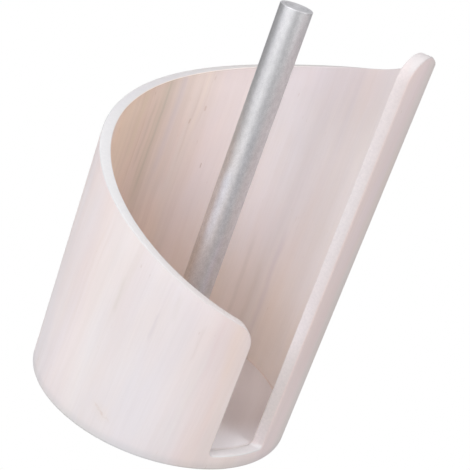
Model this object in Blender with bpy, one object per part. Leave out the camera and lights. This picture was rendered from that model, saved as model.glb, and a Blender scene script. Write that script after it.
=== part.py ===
"""Paper towel holder: a round wooden wall with a spiral rim and a slot, a base and a rod.

Metres, +Z up. The origin is under the middle of the base, on the surface that the holder
stands on. The slot is at the front, -Y. Angles are in degrees round the rod's axis, from the
front (-Y) towards the right (+X). Heights named in the shell's section are above its foot.
"""

from math import atan2, cos, degrees, exp, hypot, pi, radians, sin, sqrt

import bmesh
import bpy

# Left between pieces that touch
GAP = 0.0003

# Felt feet, under the base
FOOT_COUNT = 4
FOOT_RADIUS = 0.008
FOOT_HEIGHT = 0.002
FOOT_RING_RADIUS = 0.056
FOOT_FIRST_ANGLE = 45.0

# Wooden shell: a round wall whose rim falls from one edge of the slot to the other
SHELL_RADIUS = 0.077
WALL = 0.0064
LIP_HEIGHT = 0.009
SLOT_HALF_ANGLE = 14.25
RIM_HIGH = 0.2476
RIM_LOW = 0.0891
RIM_SWAY = 0.0015
RIM_SWAY_WAVE = 190.0
RIM_DIP = 0.0012
RIM_DIP_ANGLE = 82.0
RIM_DIP_REACH = 16.0
CORNER_RADIUS = 0.0145
EDGE_LEAN = 1.45
EDGE_LEAN_REACH = 60.0
EDGE_SPLAY = 2.0
EDGE_SPLAY_REACH = 22.0
SLOT_FILLET = 0.003
ARRIS = 0.0008

# Wooden base, set inside the shell and flush with the lip
BASE_THICKNESS = LIP_HEIGHT
BASE_ARRIS = 0.0004
ROD_SEAT_DEPTH = 0.003

# Aluminium rod
ROD_RADIUS = 0.009
ROD_TOP = 0.2382
ROD_CHAMFER = 0.0005

# M6 countersunk socket screw, 25 mm long
SCREW_RADIUS = 0.003
SCREW_LENGTH = 0.025
SCREW_HEAD_RADIUS = 0.006
SCREW_HEAD_HEIGHT = 0.0033
SCREW_HEAD_RIM = 0.0003
SOCKET_WIDTH = 0.004
SOCKET_DEPTH = 0.0022
ROD_HOLE_DEPTH = 0.022

# Facets
RIM_STEPS = 84
LIP_STEPS = 8
CORNER_STEPS = 7
FILLET_STEPS = 3
ARRIS_STEPS = 2
WALL_ROWS = 3
DISC_STEPS = 96
ROD_STEPS = 48
SCREW_STEPS = 24
FOOT_STEPS = 32
SMOOTH_ANGLE = 30.0

HIGH_EDGE = SLOT_HALF_ANGLE
LOW_EDGE = 360.0 - SLOT_HALF_ANGLE
SHELL_FOOT = FOOT_HEIGHT


def remove_everything():
    for thing in list(bpy.data.objects):
        bpy.data.objects.remove(thing, do_unlink=True)


def principled(name, color, roughness, metallic=0.0):
    material = bpy.data.materials.new(name)
    material.use_nodes = True
    shader = material.node_tree.nodes["Principled BSDF"]
    shader.inputs["Base Color"].default_value = (*color, 1.0)
    shader.inputs["Roughness"].default_value = roughness
    shader.inputs["Metallic"].default_value = metallic
    return material


def wall_wood():
    return principled("wall_wood", (0.80, 0.73, 0.71), 0.55)


def base_wood():
    return principled("base_wood", (0.74, 0.67, 0.65), 0.60)


def rod_aluminium():
    return principled("rod_aluminium", (0.62, 0.61, 0.61), 0.38, 1.0)


def screw_steel():
    return principled("screw_steel", (0.55, 0.55, 0.57), 0.35, 1.0)


def foot_felt():
    return principled("foot_felt", (0.42, 0.40, 0.38), 0.95)


def finished_object(name, shape, material, parent):
    """Links the bmesh as one named object, shaded smooth between its sharp edges."""
    bmesh.ops.recalc_face_normals(shape, faces=shape.faces[:])
    mesh = bpy.data.meshes.new(name)
    shape.to_mesh(mesh)
    shape.free()
    mesh.materials.append(material)
    mesh.shade_smooth()
    mesh.set_sharp_from_angle(angle=radians(SMOOTH_ANGLE))
    thing = bpy.data.objects.new(name, mesh)
    bpy.context.scene.collection.objects.link(thing)
    thing.parent = parent
    return thing


def turned(profile, steps):
    """Turns a (radius, height) outline once round the Z axis."""
    shape = bmesh.new()
    points = [shape.verts.new((radius, 0.0, height)) for radius, height in profile]
    edges = [shape.edges.new((points[i - 1], points[i])) for i in range(1, len(points))]
    if profile[0][0] > 0.0:
        edges.append(shape.edges.new((points[-1], points[0])))
    bmesh.ops.spin(
        shape,
        geom=points + edges,
        cent=(0.0, 0.0, 0.0),
        axis=(0.0, 0.0, 1.0),
        angle=2.0 * pi,
        steps=steps,
    )
    bmesh.ops.remove_doubles(shape, verts=shape.verts[:], dist=0.00001)
    return shape


def on_cylinder(radius, angle, height):
    turn = radians(angle)
    return (radius * sin(turn), -radius * cos(turn), height)


def wall_point(radius, angle, height):
    """Place of a point of the wall. Inside, the wood by the high edge comes further round."""
    off = abs((angle - HIGH_EDGE + 180.0) % 360.0 - 180.0)
    near = max(0.0, 1.0 - off / EDGE_SPLAY_REACH)
    shift = EDGE_SPLAY * near * near * (3.0 - 2.0 * near)
    return on_cylinder(radius, angle - shift * (SHELL_RADIUS - radius) / WALL, height)


def rim_height(angle):
    """Height of the rim: a straight fall round the wall, with a gentle sway and one dip."""
    fallen = (angle - HIGH_EDGE) / (LOW_EDGE - HIGH_EDGE)
    sway = RIM_SWAY * sin(2.0 * pi * angle / RIM_SWAY_WAVE)
    dip = RIM_DIP * exp(-(((angle - RIM_DIP_ANGLE) / RIM_DIP_REACH) ** 2))
    return RIM_HIGH + (RIM_LOW - RIM_HIGH) * fallen + sway - dip


def rim_slope(angle):
    """Rise of the rim per metre along the wall."""
    step = 0.01
    rise = rim_height(angle + step) - rim_height(angle - step)
    return rise / (radians(2.0 * step) * SHELL_RADIUS)


def corner(edge, side):
    """Points (angle, height) of the arc from the slot's edge to the rim.

    The wall is rolled out flat to find the circle that touches the edge and the rim. The wall
    lies on the side of the edge where angles grow (side 1) or fall (side -1).
    """
    per_degree = radians(1.0) * SHELL_RADIUS
    middle = edge + side * CORNER_RADIUS / per_degree
    touch = middle
    for _ in range(5):
        slope = rim_slope(touch)
        touch = middle - CORNER_RADIUS * slope / hypot(1.0, slope) / per_degree
    middle_height = rim_height(touch) - CORNER_RADIUS / hypot(1.0, slope)
    first = pi if side > 0 else 0.0
    last = atan2(1.0, -slope)
    points = []
    for i in range(CORNER_STEPS + 1):
        turn = first + (last - first) * i / CORNER_STEPS
        angle = middle + CORNER_RADIUS * cos(turn) / per_degree
        points.append((angle, middle_height + CORNER_RADIUS * sin(turn)))
    return points


def wall_top():
    """Points (angle, height) along the top of the wall, from the high edge to the low edge."""
    high = corner(HIGH_EDGE - EDGE_LEAN, 1)
    low = corner(LOW_EDGE, -1)
    start = high[-1][0]
    end = low[-1][0]
    rim = []
    for i in range(1, RIM_STEPS):
        angle = start + (end - start) * i / RIM_STEPS
        rim.append((angle, rim_height(angle)))
    return high + rim + low[::-1]


def foot_angle(top_angle):
    """Angle at the wall's foot of the line that ends at top_angle: the high edge leans."""
    reach = (top_angle - HIGH_EDGE + EDGE_LEAN) / EDGE_LEAN_REACH
    return top_angle + EDGE_LEAN * max(0.0, 1.0 - reach)


def lip_line():
    """Points (angle, height) along the lip between the slot's edges, rounded up into both."""
    per_degree = radians(1.0) * SHELL_RADIUS
    fillet = []
    for i in range(1, FILLET_STEPS + 1):
        turn = 0.5 * pi * i / FILLET_STEPS
        off = SLOT_FILLET * (1.0 - cos(turn)) / per_degree
        fillet.append((off, LIP_HEIGHT + SLOT_FILLET * (1.0 - sin(turn))))
    left = [(LOW_EDGE + off, height) for off, height in fillet]
    right = [(360.0 + HIGH_EDGE - off, height) for off, height in reversed(fillet)]
    start = left[-1][0]
    end = right[0][0]
    level = [(start + (end - start) * i / LIP_STEPS, LIP_HEIGHT) for i in range(1, LIP_STEPS)]
    return left + level + right


def arris_stations():
    """Steps (depth, radius) across the wall's edge face: round, flat and round again."""
    outer = []
    for i in range(ARRIS_STEPS + 1):
        turn = 0.5 * pi * i / ARRIS_STEPS
        outer.append((ARRIS * (1.0 - sin(turn)), SHELL_RADIUS - ARRIS * (1.0 - cos(turn))))
    both_radii = 2.0 * SHELL_RADIUS - WALL
    return outer + [(depth, both_radii - radius) for depth, radius in reversed(outer)]


def shifted(line, depth):
    """A closed line of points (angle, height), moved into the wood by depth."""
    moved = []
    for i, (angle, height) in enumerate(line):
        before = line[i - 1]
        after = line[(i + 1) % len(line)]
        along = radians((after[0] - before[0] + 180.0) % 360.0 - 180.0) * SHELL_RADIUS
        rise = after[1] - before[1]
        share = depth / hypot(along, rise)
        moved.append((angle + degrees(rise * share / SHELL_RADIUS), height - along * share))
    return moved


def between(start, end):
    """The points between two points (angle, height) that divide the way into the wall's rows."""
    steps = [i / WALL_ROWS for i in range(1, WALL_ROWS)]
    return [(start[0] + (end[0] - start[0]) * s, start[1] + (end[1] - start[1]) * s) for s in steps]


def edge_loop(top, depth):
    """Closed line along the rim, down the low edge, along the lip and up the high edge."""
    brink = LIP_HEIGHT + SLOT_FILLET
    moved = shifted(top + [(LOW_EDGE, brink)] + lip_line() + [(HIGH_EDGE, brink)], depth)
    low_end = moved[len(top)]
    down = between(moved[len(top) - 1], low_end)
    up = between(moved[-1], moved[0])
    return moved[: len(top)] + down + moved[len(top) :] + up


def bridge(shape, first, second, closed=True):
    for i in range(0 if closed else 1, len(first)):
        shape.faces.new((first[i - 1], first[i], second[i], second[i - 1]))


def skin(shape, loop, rim, count, radius):
    """One face of the wall inside its edge loop. Returns its foot as (angle, corner) pairs."""
    ring = [foot_angle(angle) for angle, _ in loop[:count]]
    for i in range(1, CORNER_STEPS):
        share = i / CORNER_STEPS
        ring[i] = ring[0] + (ring[CORNER_STEPS] - ring[0]) * share
        ring[-1 - i] = ring[-1] + (ring[-1 - CORNER_STEPS] - ring[-1]) * share
    low_end = count + WALL_ROWS - 1
    high_end = len(loop) - WALL_ROWS
    brink = [(angle, LIP_HEIGHT) for angle in ring]
    brink[0] = loop[high_end]
    brink[-1] = loop[low_end]
    columns = []
    for i in range(1, count - 1):
        points = [brink[i]] + between(brink[i], loop[i])
        made = [shape.verts.new(wall_point(radius, a, z)) for a, z in points]
        columns.append(made + [rim[i]])
    columns.insert(0, rim[high_end:] + [rim[0]])
    columns.append(rim[low_end : count - 1 : -1] + [rim[count - 1]])
    for i in range(1, count):
        bridge(shape, columns[i - 1], columns[i], closed=False)
    above = [column[0] for column in columns] + rim[low_end + 1 : high_end]
    angles = [angle for angle, _ in brink + loop[low_end + 1 : high_end]]
    foot = [shape.verts.new(wall_point(radius, angle, ARRIS)) for angle in angles]
    bridge(shape, foot, above)
    return angles, foot


def wall_shape():
    """Both faces of the wall, its rounded edge face and its rounded foot, as one closed skin."""
    shape = bmesh.new()
    top = wall_top()
    stations = arris_stations()
    loops = [edge_loop(top, depth) for depth, _ in stations]
    rims = []
    for loop, (_, radius) in zip(loops, stations):
        rims.append([shape.verts.new(wall_point(radius, a, z)) for a, z in loop])
    angles, foot = skin(shape, loops[0], rims[0], len(top), stations[0][1])
    inner_foot = skin(shape, loops[-1], rims[-1], len(top), stations[-1][1])[1]
    feet = [foot]
    for height, radius in stations[1:-1]:
        feet.append([shape.verts.new(wall_point(radius, angle, height)) for angle in angles])
    feet.append(inner_foot)
    for i in range(1, len(stations)):
        bridge(shape, rims[i - 1], rims[i])
        bridge(shape, feet[i - 1], feet[i])
    return shape


def shell(parent):
    wall = finished_object("shell", wall_shape(), wall_wood(), parent)
    wall.location.z = SHELL_FOOT
    return wall


def base_disc(parent):
    """Round base with a seat for the rod above and a countersunk screw hole below."""
    radius = SHELL_RADIUS - WALL - GAP
    seat_radius = ROD_RADIUS + GAP
    seat = BASE_THICKNESS - ROD_SEAT_DEPTH
    hole_radius = SCREW_RADIUS + GAP
    cone_radius = SCREW_HEAD_RADIUS + SCREW_HEAD_RIM + GAP + sqrt(2.0) * GAP
    profile = [
        (cone_radius, 0.0),
        (radius - BASE_ARRIS, 0.0),
        (radius, BASE_ARRIS),
        (radius, BASE_THICKNESS - BASE_ARRIS),
        (radius - BASE_ARRIS, BASE_THICKNESS),
        (seat_radius, BASE_THICKNESS),
        (seat_radius, seat),
        (hole_radius, seat),
        (hole_radius, cone_radius - hole_radius),
    ]
    disc = finished_object("base_disc", turned(profile, DISC_STEPS), base_wood(), parent)
    disc.location.z = SHELL_FOOT
    return disc


def rod(parent):
    """Plain round bar with a tapped hole in its foot, open below."""
    foot = BASE_THICKNESS - ROD_SEAT_DEPTH + GAP
    hole_radius = SCREW_RADIUS + GAP
    profile = [
        (0.0, foot + ROD_HOLE_DEPTH),
        (hole_radius, foot + ROD_HOLE_DEPTH),
        (hole_radius, foot),
        (ROD_RADIUS - ROD_CHAMFER, foot),
        (ROD_RADIUS, foot + ROD_CHAMFER),
        (ROD_RADIUS, ROD_TOP - ROD_CHAMFER),
        (ROD_RADIUS - ROD_CHAMFER, ROD_TOP),
        (0.0, ROD_TOP),
    ]
    bar = finished_object("rod", turned(profile, ROD_STEPS), rod_aluminium(), parent)
    bar.location.z = SHELL_FOOT
    return bar


def socket_cutter(parent):
    """Hexagonal prism that cuts the screw's socket."""
    shape = bmesh.new()
    corner_radius = SOCKET_WIDTH / 2.0 / cos(pi / 6.0)
    bmesh.ops.create_cone(
        shape,
        cap_ends=True,
        segments=6,
        radius1=corner_radius,
        radius2=corner_radius,
        depth=2.0 * SOCKET_DEPTH,
    )
    cutter = finished_object("socket_cutter", shape, screw_steel(), parent)
    cutter.hide_render = True
    cutter.display_type = "WIRE"
    return cutter


def rod_screw(parent):
    """Countersunk screw, head down, through the base and into the rod."""
    profile = [
        (0.0, 0.0),
        (SCREW_HEAD_RADIUS, 0.0),
        (SCREW_HEAD_RADIUS, SCREW_HEAD_RIM),
        (SCREW_RADIUS, SCREW_HEAD_HEIGHT),
        (SCREW_RADIUS, SCREW_LENGTH - SCREW_RADIUS / 4.0),
        (SCREW_RADIUS * 3.0 / 4.0, SCREW_LENGTH),
        (0.0, SCREW_LENGTH),
    ]
    screw = finished_object("rod_screw", turned(profile, SCREW_STEPS), screw_steel(), parent)
    screw.location.z = SHELL_FOOT + GAP
    cutter = socket_cutter(screw)
    socket = screw.modifiers.new("socket", "BOOLEAN")
    socket.operation = "DIFFERENCE"
    socket.solver = "EXACT"
    socket.object = cutter
    return screw


def feet(parent):
    """Round felt pads under the base, on a ring round the screw."""
    felt = foot_felt()
    for i in range(FOOT_COUNT):
        shape = bmesh.new()
        height = FOOT_HEIGHT - GAP
        bmesh.ops.create_cone(
            shape,
            cap_ends=True,
            segments=FOOT_STEPS,
            radius1=FOOT_RADIUS,
            radius2=FOOT_RADIUS,
            depth=height,
        )
        foot = finished_object(f"foot_{i + 1}", shape, felt, parent)
        angle = FOOT_FIRST_ANGLE + 360.0 * i / FOOT_COUNT
        foot.location = on_cylinder(FOOT_RING_RADIUS, angle, height / 2.0)


def main():
    remove_everything()
    holder = bpy.data.objects.new("holder", None)
    bpy.context.scene.collection.objects.link(holder)
    shell(holder)
    base_disc(holder)
    rod(holder)
    rod_screw(holder)
    feet(holder)


main()
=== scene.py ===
"""Visual model of the paper towel holder: a whitewashed wooden well round an aluminium rod.

Metres, +Z up, the slot at the front, -Y. Angles are in degrees round the rod's axis, from the
front towards the right (+X). Heights of the wall are above its foot.
"""

from math import atan2, cos, degrees, exp, hypot, pi, radians, sin

import bmesh
import bpy
from mathutils import Matrix, Vector

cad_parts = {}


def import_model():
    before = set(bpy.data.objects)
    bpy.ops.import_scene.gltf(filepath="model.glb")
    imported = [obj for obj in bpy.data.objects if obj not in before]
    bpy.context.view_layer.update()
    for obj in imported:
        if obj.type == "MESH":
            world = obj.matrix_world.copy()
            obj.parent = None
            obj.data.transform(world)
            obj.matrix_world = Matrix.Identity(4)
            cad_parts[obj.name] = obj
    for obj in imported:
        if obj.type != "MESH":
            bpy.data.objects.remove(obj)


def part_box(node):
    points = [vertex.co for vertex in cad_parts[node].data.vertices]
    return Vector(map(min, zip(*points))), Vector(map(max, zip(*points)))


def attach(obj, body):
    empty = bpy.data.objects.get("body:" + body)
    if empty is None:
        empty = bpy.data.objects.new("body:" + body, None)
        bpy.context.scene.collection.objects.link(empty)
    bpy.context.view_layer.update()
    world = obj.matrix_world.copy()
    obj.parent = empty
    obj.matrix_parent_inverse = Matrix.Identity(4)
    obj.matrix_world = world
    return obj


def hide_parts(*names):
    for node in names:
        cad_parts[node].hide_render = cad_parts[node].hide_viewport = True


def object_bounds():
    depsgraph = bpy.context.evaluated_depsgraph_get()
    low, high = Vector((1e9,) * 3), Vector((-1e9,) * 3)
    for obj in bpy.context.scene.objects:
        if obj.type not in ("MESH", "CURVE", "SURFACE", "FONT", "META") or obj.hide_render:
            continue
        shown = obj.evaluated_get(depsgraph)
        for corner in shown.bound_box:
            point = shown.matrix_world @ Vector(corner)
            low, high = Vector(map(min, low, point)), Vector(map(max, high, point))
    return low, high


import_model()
CAD_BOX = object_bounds()

# Wooden wall
WALL_RADIUS = 0.07697
WALL = 0.0064
LIP_HEIGHT = 0.009
HIGH_EDGE = 14.25
LOW_EDGE = 345.75
RIM_HIGH = 0.24758
RIM_LOW = 0.0891
RIM_SWAY = 0.0015
RIM_SWAY_WAVE = 190.0
RIM_DIP = 0.0012
RIM_DIP_ANGLE = 82.0
RIM_DIP_REACH = 16.0
CORNER_RADIUS = 0.0145
EDGE_LEAN = 1.45
EDGE_LEAN_REACH = 60.0
EDGE_SPLAY = 2.0
EDGE_SPLAY_REACH = 22.0
SLOT_FILLET = 0.003
ARRIS = 0.0008

WALL_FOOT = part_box("shell")[0].z

# Facets
RIM_STEPS = 420
LIP_STEPS = 36
CORNER_STEPS = 24
FILLET_STEPS = 6
ARRIS_STEPS = 4
WALL_ROWS = 8
TURNED_STEPS = 192
SMOOTH_ANGLE = 30.0

# Board and rod. The board reaches a little past its CAD node, so that only a hairline is left
GAP = 0.0003
BOARD_REACH = 0.0002
BOARD_ARRIS = 0.0002
BOARD_ARRIS_STEPS = 3
ROD_ARRIS = 0.0005
SCREW_HOLE = 0.0033
SCREW_HOLE_DEPTH = 0.022
COUNTERSINK = 0.007

# Screw
SCREW_RADIUS = 0.003
HEAD_HEIGHT = 0.0033
HEAD_BREAK = 0.0002
HEAD_RIM = 0.0003
NECK = 0.0006
SOCKET = 0.004
SOCKET_DEPTH = 0.0022
THREAD_PITCH = 0.001
THREAD_DEPTH = 0.0005
THREAD_ROWS = 160
THREAD_MARGIN = 0.0009
TIP_BREAK = 0.0003
SCREW_STEPS = 60

# Felt pads. The outline runs from the underside up: inset from the radius, share of the thickness
PAD_COUNT = 4
PAD_STEPS = 96
PAD_WEAR = 0.00004
PAD_OUTLINE = (
    (0.0008, 0.0),
    (0.0003, 0.06),
    (0.0, 0.22),
    (0.0, 0.8),
    (0.0002, 0.94),
    (0.0006, 1.0),
)


def srgb(red, green, blue):
    """Linear colour with alpha from 0..255 screen values."""
    linear = []
    for value in (red, green, blue):
        share = value / 255.0
        linear.append(share / 12.92 if share <= 0.04045 else ((share + 0.055) / 1.055) ** 2.4)
    return (*linear, 1.0)


# ---------------------------------------------------------------- geometry


def on_cylinder(radius, angle, height):
    turn = radians(angle)
    return (radius * sin(turn), -radius * cos(turn), height)


def wall_point(radius, angle, height):
    """Place of a point of the wall. Inside, the wood by the high edge comes further round."""
    off = abs((angle - HIGH_EDGE + 180.0) % 360.0 - 180.0)
    near = max(0.0, 1.0 - off / EDGE_SPLAY_REACH)
    shift = EDGE_SPLAY * near * near * (3.0 - 2.0 * near)
    return on_cylinder(radius, angle - shift * (WALL_RADIUS - radius) / WALL, height)


def rim_height(angle):
    """Height of the rim: a straight fall round the wall, with a gentle sway and one dip."""
    fallen = (angle - HIGH_EDGE) / (LOW_EDGE - HIGH_EDGE)
    sway = RIM_SWAY * sin(2.0 * pi * angle / RIM_SWAY_WAVE)
    dip = RIM_DIP * exp(-(((angle - RIM_DIP_ANGLE) / RIM_DIP_REACH) ** 2))
    return RIM_HIGH + (RIM_LOW - RIM_HIGH) * fallen + sway - dip


def rim_slope(angle):
    """Rise of the rim per metre along the wall."""
    step = 0.01
    rise = rim_height(angle + step) - rim_height(angle - step)
    return rise / (radians(2.0 * step) * WALL_RADIUS)


def corner(edge, side):
    """Points (angle, height) of the arc that rounds the slot's edge into the rim."""
    per_degree = radians(1.0) * WALL_RADIUS
    middle = edge + side * CORNER_RADIUS / per_degree
    touch = middle
    for _ in range(5):
        slope = rim_slope(touch)
        touch = middle - CORNER_RADIUS * slope / hypot(1.0, slope) / per_degree
    middle_height = rim_height(touch) - CORNER_RADIUS / hypot(1.0, slope)
    first = pi if side > 0 else 0.0
    last = atan2(1.0, -slope)
    points = []
    for i in range(CORNER_STEPS + 1):
        turn = first + (last - first) * i / CORNER_STEPS
        angle = middle + CORNER_RADIUS * cos(turn) / per_degree
        points.append((angle, middle_height + CORNER_RADIUS * sin(turn)))
    return points


def wall_top():
    """Points (angle, height) along the top of the wall, from the high edge to the low edge."""
    high = corner(HIGH_EDGE - EDGE_LEAN, 1)
    low = corner(LOW_EDGE, -1)
    start = high[-1][0]
    end = low[-1][0]
    rim = []
    for i in range(1, RIM_STEPS):
        angle = start + (end - start) * i / RIM_STEPS
        rim.append((angle, rim_height(angle)))
    return high + rim + low[::-1]


def foot_angle(top_angle):
    """Angle at the wall's foot of the line that ends at top_angle: the high edge leans."""
    reach = (top_angle - HIGH_EDGE + EDGE_LEAN) / EDGE_LEAN_REACH
    return top_angle + EDGE_LEAN * max(0.0, 1.0 - reach)


def lip_line():
    """Points (angle, height) along the lip between the slot's edges, rounded up into both."""
    per_degree = radians(1.0) * WALL_RADIUS
    fillet = []
    for i in range(1, FILLET_STEPS + 1):
        turn = 0.5 * pi * i / FILLET_STEPS
        off = SLOT_FILLET * (1.0 - cos(turn)) / per_degree
        fillet.append((off, LIP_HEIGHT + SLOT_FILLET * (1.0 - sin(turn))))
    left = [(LOW_EDGE + off, height) for off, height in fillet]
    right = [(360.0 + HIGH_EDGE - off, height) for off, height in reversed(fillet)]
    start = left[-1][0]
    end = right[0][0]
    level = [(start + (end - start) * i / LIP_STEPS, LIP_HEIGHT) for i in range(1, LIP_STEPS)]
    return left + level + right


def arris_stations():
    """Steps (depth, radius) across the wall's edge face: round, flat and round again."""
    outer = []
    for i in range(ARRIS_STEPS + 1):
        turn = 0.5 * pi * i / ARRIS_STEPS
        outer.append((ARRIS * (1.0 - sin(turn)), WALL_RADIUS - ARRIS * (1.0 - cos(turn))))
    both_radii = 2.0 * WALL_RADIUS - WALL
    return outer + [(depth, both_radii - radius) for depth, radius in reversed(outer)]


def shifted(line, depth):
    """A closed line of points (angle, height), moved into the wood by depth."""
    moved = []
    for i, (angle, height) in enumerate(line):
        before = line[i - 1]
        after = line[(i + 1) % len(line)]
        along = radians((after[0] - before[0] + 180.0) % 360.0 - 180.0) * WALL_RADIUS
        rise = after[1] - before[1]
        share = depth / hypot(along, rise)
        moved.append((angle + degrees(rise * share / WALL_RADIUS), height - along * share))
    return moved


def between(start, end):
    """The points between two points (angle, height) that divide the way into the wall's rows."""
    steps = [i / WALL_ROWS for i in range(1, WALL_ROWS)]
    return [(start[0] + (end[0] - start[0]) * s, start[1] + (end[1] - start[1]) * s) for s in steps]


def edge_loop(top, depth):
    """Closed line along the rim, down the low edge, along the lip and up the high edge."""
    brink = LIP_HEIGHT + SLOT_FILLET
    moved = shifted(top + [(LOW_EDGE, brink)] + lip_line() + [(HIGH_EDGE, brink)], depth)
    low_end = moved[len(top)]
    down = between(moved[len(top) - 1], low_end)
    up = between(moved[-1], moved[0])
    return moved[: len(top)] + down + moved[len(top) :] + up


def bridge(shape, first, second, closed=True):
    """Faces between two rows of vertices: triangles where the rows share one, else quads."""
    for i in range(0 if closed else 1, len(first)):
        corners = (first[i - 1], first[i], second[i], second[i - 1])
        shape.faces.new(list(dict.fromkeys(corners)))


def skin(shape, loop, rim, count, radius):
    """One face of the wall inside its edge loop. Returns its foot as (angle, corner) pairs."""
    ring = [foot_angle(angle) for angle, _ in loop[:count]]
    for i in range(1, CORNER_STEPS):
        share = i / CORNER_STEPS
        ring[i] = ring[0] + (ring[CORNER_STEPS] - ring[0]) * share
        ring[-1 - i] = ring[-1] + (ring[-1 - CORNER_STEPS] - ring[-1]) * share
    low_end = count + WALL_ROWS - 1
    high_end = len(loop) - WALL_ROWS
    brink = [(angle, LIP_HEIGHT) for angle in ring]
    brink[0] = loop[high_end]
    brink[-1] = loop[low_end]
    columns = []
    for i in range(1, count - 1):
        points = [brink[i]] + between(brink[i], loop[i])
        made = [shape.verts.new(wall_point(radius, a, WALL_FOOT + z)) for a, z in points]
        columns.append(made + [rim[i]])
    columns.insert(0, rim[high_end:] + [rim[0]])
    columns.append(rim[low_end : count - 1 : -1] + [rim[count - 1]])
    for i in range(1, count):
        bridge(shape, columns[i - 1], columns[i], closed=False)
    above = [column[0] for column in columns] + rim[low_end + 1 : high_end]
    angles = [angle for angle, _ in brink + loop[low_end + 1 : high_end]]
    foot = [shape.verts.new(wall_point(radius, angle, WALL_FOOT + ARRIS)) for angle in angles]
    bridge(shape, foot, above)
    return angles, foot


def wall_shape():
    """Both faces of the wall, its rounded edge face and its rounded foot, as one closed skin."""
    shape = bmesh.new()
    top = wall_top()
    stations = arris_stations()
    loops = [edge_loop(top, depth) for depth, _ in stations]
    rims = []
    for loop, (_, radius) in zip(loops, stations):
        rims.append([shape.verts.new(wall_point(radius, a, WALL_FOOT + z)) for a, z in loop])
    angles, foot = skin(shape, loops[0], rims[0], len(top), stations[0][1])
    inner_foot = skin(shape, loops[-1], rims[-1], len(top), stations[-1][1])[1]
    feet = [foot]
    for height, radius in stations[1:-1]:
        level = WALL_FOOT + height
        feet.append([shape.verts.new(wall_point(radius, angle, level)) for angle in angles])
    feet.append(inner_foot)
    for i in range(1, len(stations)):
        bridge(shape, rims[i - 1], rims[i])
        bridge(shape, feet[i - 1], feet[i])
    return shape


def piece(name, shape, material, node):
    """Links the bmesh as a piece that stands for one CAD node."""
    bmesh.ops.recalc_face_normals(shape, faces=shape.faces[:])
    mesh = bpy.data.meshes.new(name)
    shape.to_mesh(mesh)
    shape.free()
    mesh.materials.append(material)
    mesh.shade_smooth()
    mesh.set_sharp_from_angle(angle=radians(SMOOTH_ANGLE))
    thing = bpy.data.objects.new(name, mesh)
    bpy.context.scene.collection.objects.link(thing)
    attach(thing, "root")
    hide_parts(node)
    return thing


def turned(profile):
    """Turns a (radius, height) outline once round the Z axis, where it may start and end."""
    shape = bmesh.new()
    on_axis = [height for radius, height in profile if radius == 0.0]
    poles = {height: shape.verts.new((0.0, 0.0, height)) for height in on_axis}
    columns = []
    for i in range(TURNED_STEPS):
        turn = 2.0 * pi * i / TURNED_STEPS
        column = []
        for radius, height in profile:
            point = (radius * cos(turn), radius * sin(turn), height)
            column.append(shape.verts.new(point) if radius > 0.0 else poles[height])
        columns.append(column)
    for i in range(TURNED_STEPS):
        bridge(shape, columns[i - 1], columns[i], closed=profile[0][0] > 0.0)
    return shape


def rounded(profile, radius, segments=ARRIS_STEPS):
    """Rounds each convex or concave corner of an outline whose third value is true."""
    done = []
    for i, (r, z, *soft) in enumerate(profile):
        if not (soft and soft[0]):
            done.append((r, z))
            continue
        here = Vector((r, z))
        before = (Vector(profile[i - 1][:2]) - here).normalized()
        after = (Vector(profile[(i + 1) % len(profile)][:2]) - here).normalized()
        middle = here + (before + after) * radius
        for k in range(segments + 1):
            turn = 0.5 * pi * k / segments
            point = middle - after * radius * cos(turn) - before * radius * sin(turn)
            done.append((point.x, point.y))
    return done


def wall():
    piece("wall", wall_shape(), wall_material(), "shell")


def board():
    """Disc with a seat for the rod, and a hole and a countersink for the screw below."""
    low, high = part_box("base_disc")
    rod_low, rod_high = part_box("rod")
    radius = high.y + BOARD_REACH
    seat = rod_low.z - GAP
    seat_radius = rod_high.y + GAP
    profile = [
        (COUNTERSINK, low.z),
        (radius, low.z, True),
        (radius, high.z, True),
        (seat_radius, high.z, True),
        (seat_radius, seat),
        (SCREW_HOLE, seat),
        (SCREW_HOLE, low.z + COUNTERSINK - SCREW_HOLE),
    ]
    shape = turned(rounded(profile, BOARD_ARRIS, BOARD_ARRIS_STEPS))
    piece("board", shape, board_material(), "base_disc")


def bar():
    """Round bar with a hole for the screw in its lower end."""
    low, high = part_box("rod")
    radius = high.y
    profile = [
        (0.0, low.z + SCREW_HOLE_DEPTH),
        (SCREW_HOLE, low.z + SCREW_HOLE_DEPTH),
        (SCREW_HOLE, low.z),
        (radius, low.z, True),
        (radius, high.z, True),
        (0.0, high.z),
    ]
    shape = turned(rounded(profile, ROD_ARRIS))
    piece("bar", shape, rod_material(), "rod")


def ringed(rings):
    """Closed skin over rings of equally many points, with both ends capped."""
    shape = bmesh.new()
    made = [[shape.verts.new(point) for point in ring] for ring in rings]
    for i in range(1, len(made)):
        bridge(shape, made[i - 1], made[i])
    shape.faces.new(made[0])
    shape.faces.new(made[-1])
    return shape


def ring(reach, height):
    """Points round the axis at one height. The radius is a function of the angle in radians."""
    points = []
    for i in range(SCREW_STEPS):
        turn = 2.0 * pi * i / SCREW_STEPS
        points.append((reach(turn) * cos(turn), reach(turn) * sin(turn), height))
    return points


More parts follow.
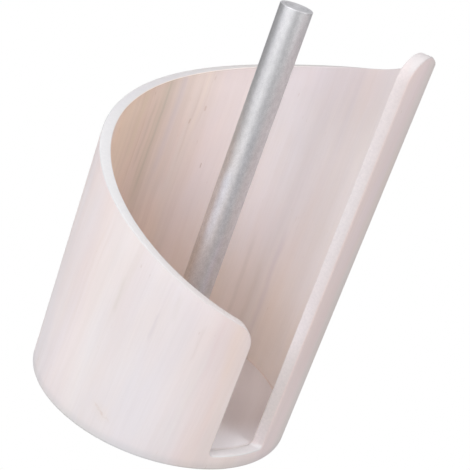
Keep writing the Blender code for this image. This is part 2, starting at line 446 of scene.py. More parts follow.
def screw():
    """Countersunk screw up into the rod, with a hexagon socket in its head and a cut thread."""
    low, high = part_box("rod_screw")
    top = high.x

    def socket(turn):
        return SOCKET / 2.0 / cos(turn % (pi / 3.0) - pi / 6.0)

    def thread(turn):
        climb = (height / THREAD_PITCH - turn / (2.0 * pi)) % 1.0
        return SCREW_RADIUS - THREAD_DEPTH * abs(2.0 * climb - 1.0)

    outline = (
        (top - HEAD_BREAK, 0.0),
        (top, HEAD_BREAK / 2.0),
        (top, HEAD_RIM),
        (SCREW_RADIUS, HEAD_HEIGHT),
        (SCREW_RADIUS - THREAD_DEPTH, HEAD_HEIGHT + NECK),
    )
    rings = [ring(socket, low.z + SOCKET_DEPTH), ring(socket, low.z)]
    for radius, height in outline:
        rings.append(ring(lambda turn, radius=radius: radius, low.z + height))
    first = HEAD_HEIGHT + THREAD_MARGIN
    last = high.z - low.z - THREAD_MARGIN
    for i in range(THREAD_ROWS + 1):
        height = first + (last - first) * i / THREAD_ROWS
        rings.append(ring(thread, low.z + height))
    tip = SCREW_RADIUS - THREAD_MARGIN
    rings.append(ring(lambda turn: tip, high.z - TIP_BREAK))
    rings.append(ring(lambda turn: tip - TIP_BREAK, high.z))
    piece("screw", ringed(rings), steel_material(), "rod_screw")


def pad_ring(number, low, high, inset, rise):
    """Points round one felt pad, unevenly worn, at a share of its thickness."""
    middle = (low + high) / 2.0
    radius = (high.x - low.x) / 2.0
    height = low.z + (high.z - low.z) * rise
    points = []
    for i in range(PAD_STEPS):
        turn = 2.0 * pi * i / PAD_STEPS
        worn_and_seam_shade = PAD_WEAR * (1.0 + sin(5.0 * turn + number) * sin(3.0 * turn + 2.0 * number))
        reach = radius - inset - worn_and_seam_shade
        points.append((middle.x + reach * cos(turn), middle.y + reach * sin(turn), height))
    return points


def pads():
    """Four felt discs under the board, with softly rounded rims that aren't quite round."""
    felt = felt_material()
    for number in range(1, PAD_COUNT + 1):
        node = f"foot_{number}"
        low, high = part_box(node)
        rings = [pad_ring(number, low, high, inset, rise) for inset, rise in PAD_OUTLINE]
        piece(f"pad_{number}", ringed(rings), felt, node)


# ---------------------------------------------------------------- materials


class Tree:
    """Shorthand for one material's nodes. A value is a number, a colour or a node's output."""

    def __init__(self, name):
        self.material = bpy.data.materials.new(name)
        self.material.use_nodes = True
        self.nodes = self.material.node_tree.nodes
        self.shader = self.nodes["Principled BSDF"]

    def plug(self, socket, value):
        if isinstance(value, bpy.types.NodeSocket):
            self.material.node_tree.links.new(value, socket)
        else:
            socket.default_value = value

    def node(self, kind, inputs=(), **settings):
        made = self.nodes.new(kind)
        for name, value in settings.items():
            setattr(made, name, value)
        for key, value in dict(inputs).items():
            self.plug(made.inputs[key], value)
        return made

    def math(self, operation, first, second=0.0):
        return self.node("ShaderNodeMath", {0: first, 1: second}, operation=operation).outputs[0]

    def smooth(self, value, start, end):
        """Rises smoothly from 0 at start to 1 at end, or falls if end is below start."""
        given = {"Value": value, "From Min": start, "From Max": end}
        return self.node("ShaderNodeMapRange", given, interpolation_type="SMOOTHSTEP").outputs[0]

    def band(self, value, start, full, fading, end):
        """1 from full to fading, falling smoothly to 0 at start and at end."""
        return self.times(self.smooth(value, start, full), self.smooth(value, end, fading))

    def times(self, first, *others):
        for other in others:
            first = self.math("MULTIPLY", first, other)
        return first

    def noise(self, point, scale, detail=2.0, roughness=0.5):
        given = {"Vector": point, "Scale": scale, "Detail": detail, "Roughness": roughness}
        return self.node("ShaderNodeTexNoise", given).outputs["Fac"]

    def stretched(self, point, x, y, z):
        given = {0: point, 1: (x, y, z)}
        return self.node("ShaderNodeVectorMath", given, operation="MULTIPLY").outputs[0]

    def ramp(self, value, stops):
        made = self.node("ShaderNodeValToRGB", {0: value})
        elements = made.color_ramp.elements
        while len(elements) < len(stops):
            elements.new(0.5)
        for element, (place, colour) in zip(elements, stops):
            element.position = place
            element.color = colour
        return made.outputs[0]

    def mix(self, share, first, second, blend="MIX"):
        given = {0: share, 6: first, 7: second}
        made = self.node("ShaderNodeMix", given, data_type="RGBA", blend_type=blend)
        return made.outputs[2]

    def vary(self, colour, noise, dark, light):
        """Multiplies a colour by a tint between dark and light, as the noise runs."""
        tint = self.mix(self.smooth(noise, 0.28, 0.72), (*dark, 1.0), (*light, 1.0))
        return self.mix(1.0, colour, tint, "MULTIPLY")

    def tinted(self, colour, mask, tint):
        return self.mix(mask, colour, (*tint, 1.0), "MULTIPLY")

    def bumped(self, height, strength, distance):
        given = {"Height": height, "Strength": strength, "Distance": distance}
        return self.node("ShaderNodeBump", given).outputs[0]

    def shade(self, **inputs):
        for name, value in inputs.items():
            self.plug(self.shader.inputs[name.replace("_", " ")], value)
        return self.material


# Whitewash by bearing, in screen colours from 0 to 255: outside, inside, on the rim and the lip
OUTSIDE_TINTS = (
    (0, (244, 229, 226)),
    (16, (246, 229, 228)),
    (22, (246, 229, 229)),
    (30, (240, 228, 225)),
    (38, (236, 228, 224)),
    (60, (240, 229, 228)),
    (200, (243, 233, 233)),
    (240, (247, 238, 239)),
    (250, (242, 232, 233)),
    (272, (240, 229, 229)),
    (283, (240, 232, 232)),
    (293, (239, 229, 229)),
    (305, (239, 231, 233)),
    (319, (240, 231, 233)),
    (327, (241, 230, 230)),
    (332, (242, 227, 226)),
    (339, (242, 225, 221)),
    (345, (243, 227, 223)),
    (360, (244, 229, 226)),
)
INSIDE_TINTS = (
    (0, (241, 232, 231)),
    (60, (241, 235, 236)),
    (78, (243, 237, 238)),
    (86, (240, 232, 232)),
    (95, (238, 230, 231)),
    (106, (238, 232, 235)),
    (116, (240, 234, 238)),
    (126, (242, 235, 238)),
    (148, (245, 234, 234)),
    (157, (245, 233, 233)),
    (167, (247, 234, 229)),
    (175, (246, 232, 226)),
    (186, (245, 228, 217)),
    (194, (250, 229, 217)),
    (205, (255, 232, 214)),
    (218, (255, 231, 210)),
    (240, (250, 233, 224)),
    (300, (241, 231, 229)),
    (360, (241, 232, 231)),
)
# The rim's tints are darker at the back than at the front: painted shade where the rim at the back
# lies in shade
RIM_TINTS = (
    (0, (232, 226, 227)),
    (22, (231, 225, 226)),
    (40, (227, 224, 226)),
    (100, (228, 222, 222)),
    (150, (228, 223, 222)),
    (182, (225, 221, 223)),
    (210, (228, 226, 229)),
    (240, (231, 230, 232)),
    (277, (234, 233, 235)),
    (317, (239, 234, 234)),
    (345, (241, 231, 230)),
    (360, (232, 226, 227)),
)
LIP_TINT = (239, 236, 238)
# Tint of the rim's outer arris by bearing: painted shade at the back, where the arris faces away
# from the light
ARRIS_TINTS = (
    (0, (244, 243, 242)),
    (60, (244, 243, 242)),
    (130, (246, 247, 247)),
    (160, (236, 239, 238)),
    (225, (236, 239, 238)),
    (245, (255, 255, 255)),
    (350, (255, 255, 255)),
    (360, (244, 243, 242)),
)
# Sawn faces of the slot by height, as a share of CUT_REACH
CUT_REACH = 0.25
CUT_TINTS = (
    (0.0, (236, 225, 224)),
    (0.06, (237, 227, 228)),
    (0.12, (234, 225, 223)),
    (0.25, (235, 227, 226)),
    (0.34, (239, 231, 233)),
    (0.45, (235, 226, 227)),
    (0.6, (232, 225, 226)),
    (1.0, (232, 221, 221)),
)

# Marks in the whitewash: inside the well or not, bearing, lean in degrees per metre, half width
# in degrees, lowest and highest height in metres, tint. They fade out towards their ends
STREAKS = (
    (True, 93.0, 0.0, 3.0, 0.112, 0.225, (0.975, 0.975, 0.985)),
    (True, 102.5, 20.0, 2.6, 0.010, 0.105, (0.93, 0.925, 0.955)),
    (True, 109.5, 0.0, 3.0, 0.005, 0.078, (0.95, 0.94, 0.93)),
    (True, 74.0, 0.0, 20.0, -0.050, 0.100, (0.968, 0.98, 1.01)),
    (True, 117.0, 0.0, 12.0, -0.050, 0.120, (0.995, 0.975, 0.968)),
    (True, 113.0, 0.0, 10.0, 0.105, 0.150, (1.02, 1.025, 1.025)),
    (True, 117.5, 8.0, 1.9, 0.010, 0.092, (0.93, 0.93, 0.925)),
    (True, 127.0, 0.0, 8.5, -0.020, 0.074, (1.0, 0.985, 0.96)),
    (True, 155.4, 0.0, 0.45, 0.1130, 0.1172, (0.76, 0.70, 0.66)),
    (True, 163.4, 0.0, 0.8, 0.1488, 0.1530, (0.86, 0.81, 0.77)),
    (True, 168.8, 0.0, 0.6, 0.1392, 0.1434, (0.86, 0.80, 0.76)),
    (True, 164.4, 0.0, 1.0, 0.130, 0.190, (0.965, 0.955, 0.94)),
    (True, 168.5, 0.0, 1.0, 0.110, 0.175, (0.96, 0.95, 0.94)),
    (True, 166.3, 0.0, 1.6, 0.125, 0.195, (1.03, 1.03, 1.01)),
    (True, 172.0, 0.0, 2.4, 0.090, 0.150, (0.985, 0.965, 0.96)),
    (True, 178.8, 0.0, 3.2, 0.095, 0.185, (0.955, 0.97, 1.015)),
    (True, 187.2, -10.0, 5.0, 0.075, 0.190, (0.95, 0.965, 0.95)),
    (True, 186.6, -10.0, 1.2, 0.080, 0.180, (0.90, 0.915, 0.90)),
    (True, 189.4, -10.0, 1.0, 0.095, 0.160, (0.94, 0.945, 0.93)),
    (True, 192.6, -20.0, 1.5, 0.105, 0.160, (0.92, 0.92, 0.90)),
    (True, 196.2, -20.0, 1.2, 0.095, 0.150, (0.95, 0.94, 0.92)),
    (True, 200.5, 0.0, 3.0, 0.110, 0.170, (0.97, 0.985, 0.96)),
    (True, 174.0, 0.0, 12.0, 0.020, 0.100, (1.045, 1.01, 0.985)),
    (False, 271.0, 60.0, 1.5, 0.020, 0.125, (0.972, 0.965, 0.955)),
    (False, 275.0, 60.0, 1.3, 0.050, 0.120, (0.985, 0.98, 0.975)),
    (False, 268.0, 60.0, 7.0, 0.060, 0.150, (1.0, 0.99, 0.985)),
    (False, 289.9, 0.0, 1.6, 0.070, 0.095, (0.965, 0.965, 0.95)),
    (False, 291.3, 60.0, 3.0, 0.060, 0.120, (0.985, 0.985, 0.975)),
    (False, 307.2, 90.0, 1.1, 0.066, 0.086, (0.955, 0.955, 0.965)),
    (False, 307.9, 60.0, 1.3, 0.060, 0.112, (0.98, 0.975, 0.98)),
    (False, 313.7, 0.0, 1.6, 0.080, 0.100, (0.975, 0.975, 0.965)),
    (False, 325.0, 90.0, 1.2, 0.062, 0.088, (0.96, 0.95, 0.945)),
    (False, 327.8, 60.0, 1.5, 0.006, 0.088, (1.01, 1.02, 1.015)),
    (False, 331.5, 60.0, 1.7, 0.046, 0.100, (0.995, 0.98, 0.98)),
    (False, 338.5, 0.0, 3.6, 0.052, 0.100, (1.0, 0.99, 0.97)),
    (False, 338.5, 0.0, 3.0, 0.006, 0.060, (0.99, 0.97, 0.97)),
    (False, 345.0, 0.0, 3.0, 0.020, 0.110, (1.02, 1.035, 1.05)),
)
# Painted shade along the wall's foot, darker towards the bottom: height where the tint is full,
# height where it ends, tint
FOOT_SHADE_TINTS = (
    (0.0015, 0.0065, (0.915, 0.94, 0.945)),
    (0.0003, 0.0016, (0.84, 0.87, 0.86)),
)
# Painted highlights and shade on the rod, brighter or darker where light falls on it: bearing, half
# width, lowest and highest height, tint
ROD_PAINTED_LIGHT = (
    (281.0, 17.0, 0.165, 0.300, (1.16, 1.16, 1.17)),
    (285.0, 34.0, 0.095, 0.150, (1.05, 1.10, 1.17)),
    (250.0, 20.0, 0.090, 0.150, (1.06, 1.08, 1.12)),
    (330.0, 22.0, 0.092, 0.190, (0.93, 0.935, 0.95)),
    (250.0, 13.0, 0.170, 0.290, (0.91, 0.91, 0.91)),
    (345.0, 20.0, 0.060, 0.112, (1.08, 1.05, 1.08)),
)
# One healed knot, outside near the foot. Its strokes are drawn on a flat patch in degrees
KNOT_BEARING = 297.9
KNOT_HEIGHT = 0.0159
KNOT_DEGREES_PER_METRE = 744.0
# Lean of the grain outside in degrees per metre, and bearing of the board's grain
GRAIN_LEAN = 60.0
BOARD_GRAIN = -42.75


def place_on(tree):
    """The surface's point, bearing in degrees, radius and height above the wall's foot."""
    point = tree.node("ShaderNodeTexCoord").outputs["Object"]
    axes = tree.node("ShaderNodeSeparateXYZ", {0: point}).outputs
    turn = tree.math("ARCTAN2", axes["X"], axes["Y"])
    bearing = tree.math("SUBTRACT", 180.0, tree.math("DEGREES", turn))
    flat = tree.stretched(point, 1.0, 1.0, 0.0)
    radius = tree.node("ShaderNodeVectorMath", {0: flat}, operation="LENGTH").outputs["Value"]
    height = tree.math("SUBTRACT", axes["Z"], WALL_FOOT)
    return point, bearing, radius, height


def facing(tree, point):
    """How far the surface faces up, and how far it faces out of or into the well."""
    normal = tree.node("ShaderNodeNewGeometry").outputs["Normal"]
    upward = tree.node("ShaderNodeSeparateXYZ", {0: normal}).outputs["Z"]
    outward = tree.stretched(point, 1.0, 1.0, 0.0)
    outward = tree.node("ShaderNodeVectorMath", {0: outward}, operation="NORMALIZE").outputs[0]
    across = tree.node("ShaderNodeVectorMath", {0: normal, 1: outward}, operation="DOT_PRODUCT")
    return upward, tree.math("ABSOLUTE", across.outputs["Value"])


def streak_mask(tree, bearing, height, at, lean, width, low, high):
    """1 along the middle of an upright mark, and 0 past its half width and its ends."""
    middle = (low + high) / 2.0
    reach = (high - low) / 2.0
    rise = tree.math("SUBTRACT", height, middle)
    off = tree.math("SUBTRACT", tree.math("SUBTRACT", bearing, at), tree.times(rise, lean))
    across = tree.smooth(tree.math("ABSOLUTE", off), width, 0.0)
    along = tree.smooth(tree.math("ABSOLUTE", rise), reach, reach * 0.5)
    return tree.times(across, along)


def knot(tree, colour, bearing, height, point):
    """A small healed knot: a warm patch with two short dark strokes in it."""
    wave = tree.times(tree.math("SUBTRACT", tree.noise(point, 260.0), 0.5), 2.4)
    side = tree.math("SUBTRACT", bearing, KNOT_BEARING)
    rise = tree.times(tree.math("SUBTRACT", height, KNOT_HEIGHT), KNOT_DEGREES_PER_METRE)
    along = tree.math("ADD", side, tree.times(rise, -0.4))
    across = tree.math("ADD", rise, tree.times(side, 0.55))
    across = tree.math("ADD", across, wave)
    span = tree.smooth(tree.math("ABSOLUTE", along), 7.5, 1.0)
    off = tree.math("ABSOLUTE", across)
    patch = tree.times(span, tree.smooth(off, 5.5, 0.5))
    broken = tree.smooth(tree.noise(point, 400.0), 0.4, 0.6)
    stroke = tree.times(span, tree.smooth(off, 1.1, 0.1), broken)
    colour = tree.tinted(colour, patch, (1.0, 0.985, 0.965))
    return tree.tinted(colour, stroke, (0.93, 0.89, 0.86))


def grain(tree, colour, point):
    """Upright grain: slow clouds, soft bands and fine fibres. Returns the colour and its relief."""
    cloud = tree.noise(tree.stretched(point, 1.0, 1.0, 0.35), 34.0, 3.0)
    colour = tree.vary(colour, cloud, (0.985, 0.992, 0.99), (1.01, 1.0, 1.0))
    blush = tree.noise(tree.stretched(point, 1.0, 1.0, 0.25), 75.0, 2.0)
    colour = tree.vary(colour, blush, (0.992, 1.0, 1.012), (1.008, 1.0, 0.988))
    bands = tree.noise(tree.stretched(point, 1.0, 1.0, 0.06), 120.0, 3.0, 0.6)
    colour = tree.vary(colour, bands, (0.978, 0.973, 0.972), (1.01, 1.012, 1.012))
    fibre = tree.noise(tree.stretched(point, 1.0, 1.0, 0.04), 700.0, 4.0, 0.7)
    colour = tree.vary(colour, fibre, (0.98, 0.977, 0.975), (1.004, 1.004, 1.004))
    return colour, tree.math("ADD", fibre, tree.times(bands, 0.5))


def pores(tree, colour, point):
    """Short dark dashes along the grain, few and faint."""
    given = {"Vector": tree.stretched(point, 1.0, 1.0, 0.16), "Scale": 330.0, "Randomness": 1.0}
    cells = tree.node("ShaderNodeTexVoronoi", given).outputs["Distance"]
    sparse = tree.smooth(tree.noise(point, 210.0), 0.58, 0.70)
    mask = tree.times(tree.smooth(cells, 0.22, 0.06), sparse)
    return tree.tinted(colour, mask, (0.91, 0.88, 0.86))


def screen_ramp(tree, value, stops, full):
    """Ramp between screen colours, whose places are given as parts of full."""
    return tree.ramp(value, [(place / full, srgb(*colour)) for place, colour in stops])


def lined(tree, colour, bearing, inside):
    """Close parallel lines in the wood at the left of the well."""
    given = {"W": tree.times(bearing, 0.3), "Scale": 1.0, "Detail": 5.0, "Roughness": 0.75}
    lines = tree.node("ShaderNodeTexNoise", given, noise_dimensions="1D").outputs["Fac"]
    left = tree.band(bearing, 150.0, 175.0, 200.0, 225.0)
    ruled = tree.vary(colour, lines, (0.965, 0.962, 0.958), (1.02, 1.022, 1.022))
    return tree.mix(tree.times(left, inside), colour, ruled)


def edged(tree, colour, bearing, radial, inside, height):
    """Tints the arrises with painted light and shade: the outer one by bearing, with painted shade
    at the back and darkened at the front where its highlight falls, and at the back a painted
    highlight on the inner one with a painted shadow line next to it.
    """
    outside = tree.math("SUBTRACT", 1.0, inside)
    standing = tree.smooth(height, 0.004, 0.007)
    arris = tree.times(tree.band(radial, 0.25, 0.6, 0.9, 0.999), standing, outside)
    # Outer arris tinted by bearing, with painted shade at the back
    tint = screen_ramp(tree, tree.math("DIVIDE", bearing, 360.0), ARRIS_TINTS, 360.0)
    colour = tree.mix(arris, colour, tint, "MULTIPLY")
    # Darker at the front, where the light's highlight falls on the outer arris: painted shade that
    # dims the highlight
    front = tree.band(bearing, 235.0, 260.0, 346.0, 352.0)
    colour = tree.tinted(colour, tree.times(arris, front), (0.89, 0.88, 0.88))
    # At the back: a painted highlight along the inner arris, and a painted shadow line just below
    # it on the inner wall
    back = tree.times(inside, tree.band(bearing, 110.0, 140.0, 215.0, 240.0), standing)
    inner_highlight = tree.times(tree.band(radial, 0.2, 0.45, 0.6, 0.85), back)
    colour = tree.tinted(colour, inner_highlight, (1.12, 1.07, 1.03))
    line = tree.times(tree.band(radial, 0.82, 0.93, 0.985, 0.9995), back)
    return tree.tinted(colour, line, (0.82, 0.80, 0.77))


def wash(tree, true_bearing, bearing, height, inside, outside):
    """Whitewash of the wall's two faces with its marks, by a bearing that sways a little, with
    painted floor bounce light low on the outside.
    """
    share = tree.math("DIVIDE", bearing, 360.0)
    outer = screen_ramp(tree, share, OUTSIDE_TINTS, 360.0)
    # Outside, lighter and cooler towards the foot: painted light bounced up from the floor
    outer = tree.tinted(outer, tree.smooth(height, 0.078, 0.035), (1.03, 1.045, 1.055))
    left = tree.smooth(true_bearing, 150.0, 200.0)
    high_left = tree.times(left, tree.smooth(height, 0.106, 0.138))
    outer = tree.tinted(outer, high_left, (0.95, 0.93, 0.925))
    inner = screen_ramp(tree, share, INSIDE_TINTS, 360.0)
    inner = tree.tinted(inner, tree.smooth(height, 0.10, 0.03), (1.05, 1.01, 0.93))
    inner = tree.tinted(inner, tree.smooth(height, 0.155, 0.215), (0.91, 0.875, 0.88))
    colour = tree.mix(inside, outer, inner)
    for within, at, lean, width, low, high, tint in STREAKS:
        mask = streak_mask(tree, bearing, height, at, lean, width, low, high)
        colour = tree.tinted(colour, tree.times(mask, inside if within else outside), tint)
    return colour


def sawn(tree, colour, point, bearing, height, faces):
    """End grain on the slot's sawn faces, and the paler rim and lip, the rim with painted shade at
    the back.
    """
    upward, radial, outside = faces
    end_grain = tree.noise(point, 620.0, 4.0, 0.7)
    cut = screen_ramp(tree, tree.math("DIVIDE", height, CUT_REACH), CUT_TINTS, 1.0)
    cut = tree.vary(cut, end_grain, (0.94, 0.94, 0.95), (1.03, 1.03, 1.03))
    colour = tree.mix(tree.smooth(radial, 0.75, 0.35), colour, cut)
    # Rim tints by bearing, with painted shade at the back
    rim = screen_ramp(tree, tree.math("DIVIDE", bearing, 360.0), RIM_TINTS, 360.0)
    rim = tree.mix(tree.smooth(height, 0.03, 0.02), rim, srgb(*LIP_TINT))
    rim = tree.vary(rim, end_grain, (0.975, 0.975, 0.98), (1.015, 1.015, 1.015))
    crown = tree.math("ADD", upward, tree.times(outside, 0.3))
    return tree.mix(tree.smooth(crown, 0.45, 0.9), colour, rim)


def wall_material():
    """Whitewashed wood: tinted by bearing and height, with grain, pores, marks and a knot, and with
    painted light and shade at the foot, the rim and the arrises.
    """
    tree = Tree("whitewashed_wall")
    point, bearing, radius, height = place_on(tree)
    upward, radial = facing(tree, point)
    inside = tree.smooth(radius, WALL_RADIUS - WALL * 0.3, WALL_RADIUS - WALL * 0.7)
    outside = tree.math("SUBTRACT", 1.0, inside)
    drift = tree.noise(tree.stretched(point, 8.0, 8.0, 22.0), 1.0, 3.0)
    drift = tree.times(tree.math("SUBTRACT", drift, 0.5), 5.0)
    swayed = tree.math("ADD", bearing, drift)
    colour = wash(tree, bearing, swayed, height, inside, outside)
    colour = knot(tree, colour, bearing, height, point)
    colour = lined(tree, colour, swayed, inside)
    lean = tree.times(height, outside, -radians(GRAIN_LEAN))
    given = {"Vector": point, "Angle": lean}
    leaning = tree.node("ShaderNodeVectorRotate", given, rotation_type="Z_AXIS").outputs[0]
    colour, relief = grain(tree, colour, leaning)
    colour = pores(tree, colour, leaning)
    colour = sawn(tree, colour, point, bearing, height, (upward, radial, outside))
    colour = edged(tree, colour, bearing, radial, inside, height)
    # Painted shade along the wall's foot, darker towards the bottom
    for low, high, tint in FOOT_SHADE_TINTS:
        colour = tree.tinted(colour, tree.smooth(height, high, low), tint)
    bump = tree.bumped(relief, 0.25, 0.0002)
    return tree.shade(Base_Color=colour, Roughness=0.55, Specular_IOR_Level=0.3, Normal=bump)


def board_material():
    """The wall's whitewash on straight grain, with painted light by the lip where light comes in
    through the slot, and along its rim painted shade at the front and painted warm bounce light at
    the back.
    """
    tree = Tree("whitewashed_board")
    point, _, radius, _ = place_on(tree)
    given = {"Vector": point, "Angle": radians(BOARD_GRAIN)}
    along = tree.node("ShaderNodeVectorRotate", given, rotation_type="Z_AXIS").outputs[0]
    colour = srgb(238, 230, 230)
    bands = tree.noise(tree.stretched(along, 0.06, 1.0, 1.0), 120.0, 3.0, 0.6)
    colour = tree.vary(colour, bands, (0.97, 0.965, 0.965), (1.012, 1.012, 1.012))
    fibre = tree.noise(tree.stretched(along, 0.04, 1.0, 1.0), 700.0, 4.0, 0.7)
    colour = tree.vary(colour, fibre, (0.982, 0.98, 0.98), (1.0, 1.0, 1.0))
    front = tree.node("ShaderNodeSeparateXYZ", {0: point}).outputs["Y"]
    # Painted light on the part of the board by the lip that light reaches through the slot
    colour = tree.tinted(colour, tree.smooth(front, -0.046, -0.064), (1.10, 1.15, 1.19))
    brim = tree.smooth(radius, WALL_RADIUS - WALL - 0.0016, WALL_RADIUS - WALL - 0.0004)
    # Along the board's rim: painted shade in the seam at the front, and painted warm bounce light
    # in the seam at the back
    worn_and_seam_shade = tree.times(brim, tree.smooth(front, -0.035, -0.050))
    warm = tree.times(brim, tree.smooth(front, -0.045, -0.030))
    colour = tree.tinted(colour, worn_and_seam_shade, (0.89, 0.87, 0.855))
    colour = tree.tinted(colour, warm, (1.06, 0.97, 0.89))
    bump = tree.bumped(fibre, 0.25, 0.0002)
    return tree.shade(Base_Color=colour, Roughness=0.6, Specular_IOR_Level=0.3, Normal=bump)


def rod_material():
    """Aluminium with a mottled satin skin and turning marks on its top, with painted highlights and
    shade by bearing and height and a painted highlight on its brink.
    """
    tree = Tree("satin_aluminium")
    point, bearing, radius, height = place_on(tree)
    normal = tree.node("ShaderNodeNewGeometry").outputs["Normal"]
    upward = tree.node("ShaderNodeSeparateXYZ", {0: normal}).outputs["Z"]
    mottle = tree.noise(tree.stretched(point, 1.0, 1.0, 0.6), 520.0, 3.0, 0.65)
    speck = tree.noise(tree.stretched(point, 1.0, 1.0, 1.6), 1900.0, 2.0, 0.6)
    colour = tree.vary(srgb(230, 230, 232), mottle, (0.93, 0.93, 0.935), (1.06, 1.06, 1.06))
    colour = tree.vary(colour, speck, (0.90, 0.90, 0.90), (1.07, 1.07, 1.07))
    # Painted shade on the rod's upper front, where the key light's highlight falls, to dim it
    upper = tree.smooth(height, 0.13, 0.215)
    front = tree.band(bearing, 225.0, 250.0, 305.0, 352.0)
    colour = tree.tinted(colour, tree.times(upper, front), (0.84, 0.84, 0.845))
    # Painted highlights and shade on the rod by bearing and height
    for at, width, low, high, tint in ROD_PAINTED_LIGHT:
        mask = streak_mask(tree, bearing, height, at, 0.0, width, low, high)
        colour = tree.tinted(colour, mask, tint)
    # Painted shade low on the rod, where the wall keeps the light off it
    colour = tree.tinted(colour, tree.smooth(height, 0.112, 0.094), (0.92, 0.92, 0.925))
    given = {"W": radius, "Scale": 900.0, "Detail": 3.0}
    rings = tree.node("ShaderNodeTexNoise", given, noise_dimensions="1D").outputs["Fac"]
    turning = tree.vary(srgb(232, 231, 235), rings, (0.86, 0.86, 0.86), (1.08, 1.08, 1.08))
    colour = tree.mix(tree.smooth(upward, 0.6, 0.95), colour, turning)
    # Painted highlight on the brink of the rod's top
    brink = tree.band(upward, 0.15, 0.4, 0.75, 0.95)
    colour = tree.tinted(colour, brink, (1.2, 1.2, 1.2))
    dull = tree.math("ADD", 0.49, tree.times(mottle, 0.12))
    relief = tree.bumped(tree.math("ADD", speck, mottle), 0.10, 0.0002)
    round_the_axis = tree.node("ShaderNodeTangent", direction_type="RADIAL", axis="Z")
    return tree.shade(
        Base_Color=colour,
        Roughness=dull,
        Metallic=1.0,
        Anisotropic=0.42,
        Anisotropic_Rotation=0.25,
        Tangent=round_the_axis.outputs["Tangent"],
        Normal=relief,
    )


def steel_material():
    """Zinc plate: small dull and bright crystals, turning marks on the head."""
    tree = Tree("zinc_plated_steel")
    point, _, radius, _ = place_on(tree)
    given = {"Vector": point, "Scale": 1400.0}
    crystals = tree.node("ShaderNodeTexVoronoi", given).outputs["Color"]
    crystals = tree.node("ShaderNodeSeparateXYZ", {0: crystals}).outputs["X"]
    bloom = tree.noise(point, 500.0, 4.0, 0.6)
    given = {"W": radius, "Scale": 2400.0, "Detail": 3.0}
    rings = tree.node("ShaderNodeTexNoise", given, noise_dimensions="1D").outputs["Fac"]
    colour = tree.vary(srgb(198, 199, 203), bloom, (0.86, 0.88, 0.92), (1.05, 1.05, 1.03))
    colour = tree.vary(colour, crystals, (0.94, 0.94, 0.94), (1.04, 1.04, 1.04))
    dull = tree.math("ADD", 0.28, tree.times(bloom, 0.22))
    bump = tree.bumped(rings, 0.3, 0.00005)
    return tree.shade(Base_Color=colour, Roughness=dull, Metallic=1.0, Normal=bump)


def felt_material():
    """Pressed wool: tangled fibres, darker pits and a soft sheen."""
    tree = Tree("wool_felt")
    point = place_on(tree)[0]
    given = {"Vector": point, "Scale": 900.0, "Detail": 2.0}
    warped = tree.node("ShaderNodeTexNoise", given).outputs["Color"]
    warped = tree.stretched(warped, 0.0035, 0.0035, 0.0035)
    warped = tree.node("ShaderNodeVectorMath", {0: point, 1: warped}, operation="ADD").outputs[0]
    fibres = tree.noise(tree.stretched(warped, 1.0, 0.25, 1.0), 3200.0, 4.0, 0.7)
    across = tree.noise(tree.stretched(warped, 0.25, 1.0, 1.0), 3200.0, 4.0, 0.7)
    tangle = tree.math("MAXIMUM", fibres, across)
    cloud = tree.noise(point, 300.0, 3.0)
    colour = tree.vary(srgb(171, 167, 163), tangle, (0.55, 0.54, 0.53), (1.16, 1.16, 1.16))
    colour = tree.vary(colour, cloud, (0.9, 0.89, 0.88), (1.05, 1.05, 1.05))
    bump = tree.bumped(tangle, 0.8, 0.0003)
    return tree.shade(
        Base_Color=colour,
        Roughness=0.95,
        Sheen_Weight=0.35,
        Sheen_Roughness=0.5,
        Normal=bump,
    )


# ---------------------------------------------------------------- stage, light, camera

# The camera stands left of the slot. Its distance and aim count in wall radii, from the middle of
# the wall's foot, and the lights' bearings count from its own.
CAMERA_BEARING = -42.75
CAMERA_DISTANCE = 8.65648
CAMERA_ELEVATION = 22.1504
CAMERA_ROLL = 20.0744
AIM_SIDE = 0.135281
AIM_HEIGHT = 1.391218
CAMERA_LENS = 91.745
SENSOR_WIDTH = 36.0

LIGHTS = {
    # name: (bearing from the camera, elevation, distance, width, height, radiance)
    "key": (-42.0, 32.0, 1.2, 0.7, 0.7, 4.1),
    "key_front": (-12.0, 28.0, 1.2, 0.7, 0.7, 1.95),
    "fill": (62.0, 34.0, 1.2, 0.6, 1.3, 1.4),
    "left": (-80.0, 25.0, 1.2, 1.0, 0.8, 0.12),
    "back": (180.0, 25.0, 1.2, 1.2, 1.0, 0.15),
}
WORLD = 0.47
FLOOR_GLOW = 1.0
FLOOR_RADIUS = 12.0
FLOOR_DROP = 0.0003
BACKDROP_HEIGHT = 6.0


def camera():
    elevation = radians(CAMERA_ELEVATION)
    roll = radians(CAMERA_ROLL)
    turn = Matrix.Rotation(radians(CAMERA_BEARING), 3, "Z")
    foot = Vector((0.0, 0.0, WALL_FOOT))
    rise = AIM_HEIGHT + CAMERA_DISTANCE * sin(elevation)
    stand = Vector((0.0, -CAMERA_DISTANCE * cos(elevation), rise))
    aim = Vector((AIM_SIDE, 0.0, AIM_HEIGHT))
    place = turn @ stand * WALL_RADIUS + foot
    forward = (turn @ aim * WALL_RADIUS + foot - place).normalized()
    level = forward.cross(Vector((0.0, 0.0, 1.0))).normalized()
    upright = level.cross(forward)
    right = level * cos(roll) + upright * sin(roll)
    up = upright * cos(roll) - level * sin(roll)
    data = bpy.data.cameras.new("camera")
    data.lens = CAMERA_LENS
    data.sensor_width = SENSOR_WIDTH
    data.clip_start = 0.01
    data.clip_end = 100.0
    thing = bpy.data.objects.new("camera", data)
    bpy.context.scene.collection.objects.link(thing)
    thing.matrix_world = Matrix(
        (
            (right.x, up.x, -forward.x, place.x),
            (right.y, up.y, -forward.y, place.y),
            (right.z, up.z, -forward.z, place.z),
            (0.0, 0.0, 0.0, 1.0),
        )
    )
    bpy.context.scene.camera = thing


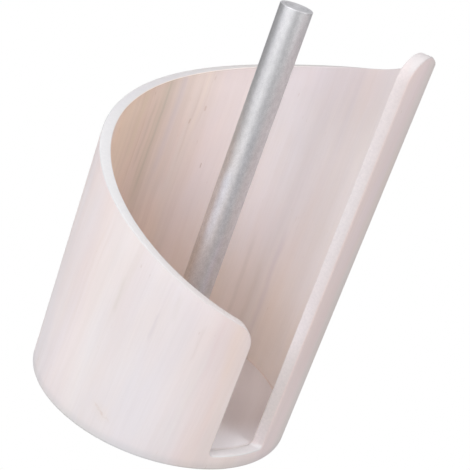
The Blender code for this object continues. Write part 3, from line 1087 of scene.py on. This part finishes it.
def softbox(name, bearing, elevation, distance, width, height, radiance):
    """Rectangular area light that faces the middle of the object."""
    low, high = CAD_BOX
    target = (low + high) / 2.0
    turn = radians(CAMERA_BEARING + bearing)
    rise = radians(elevation)
    away = Vector((sin(turn) * cos(rise), -cos(turn) * cos(rise), sin(rise)))
    data = bpy.data.lights.new(name, "AREA")
    data.shape = "RECTANGLE"
    data.size = width
    data.size_y = height
    data.energy = radiance * pi * width * height
    thing = bpy.data.objects.new(name, data)
    bpy.context.scene.collection.objects.link(thing)
    thing.location = target + away * distance
    thing.rotation_mode = "QUATERNION"
    thing.rotation_quaternion = away.to_track_quat("Z", "Y")


def stage():
    """Round white floor with an upright white backdrop at its rim. Only the camera sees them."""
    floor_shape = bmesh.new()
    bmesh.ops.create_circle(floor_shape, cap_ends=True, segments=96, radius=FLOOR_RADIUS)
    rim = [edge for edge in floor_shape.edges if edge.is_boundary]
    raised = bmesh.ops.extrude_edge_only(floor_shape, edges=rim)["geom"]
    risen = [point for point in raised if isinstance(point, bmesh.types.BMVert)]
    bmesh.ops.translate(floor_shape, verts=risen, vec=(0.0, 0.0, BACKDROP_HEIGHT))
    mesh = bpy.data.meshes.new("floor")
    floor_shape.to_mesh(mesh)
    floor_shape.free()
    tree = Tree("floor_paper")
    mesh.materials.append(
        tree.shade(
            Base_Color=(0.0, 0.0, 0.0, 1.0),
            Roughness=0.9,
            Specular_IOR_Level=0.0,
            Emission_Color=(1.0, 1.0, 1.0, 1.0),
            Emission_Strength=FLOOR_GLOW,
        )
    )
    floor = bpy.data.objects.new("floor", mesh)
    bpy.context.scene.collection.objects.link(floor)
    floor.location.z = -FLOOR_DROP
    floor.visible_diffuse = False
    floor.visible_glossy = False
    floor.visible_shadow = False


def world():
    surround = bpy.data.worlds.new("studio")
    surround.use_nodes = True
    background = surround.node_tree.nodes["Background"]
    background.inputs["Color"].default_value = (1.0, 1.0, 1.0, 1.0)
    background.inputs["Strength"].default_value = WORLD
    bpy.context.scene.world = surround


def lights():
    for name, setting in LIGHTS.items():
        softbox(name, *setting)


def main():
    wall()
    board()
    bar()
    screw()
    pads()
    stage()
    world()
    lights()
    camera()
    bpy.context.scene.view_settings.view_transform = "Standard"


main()
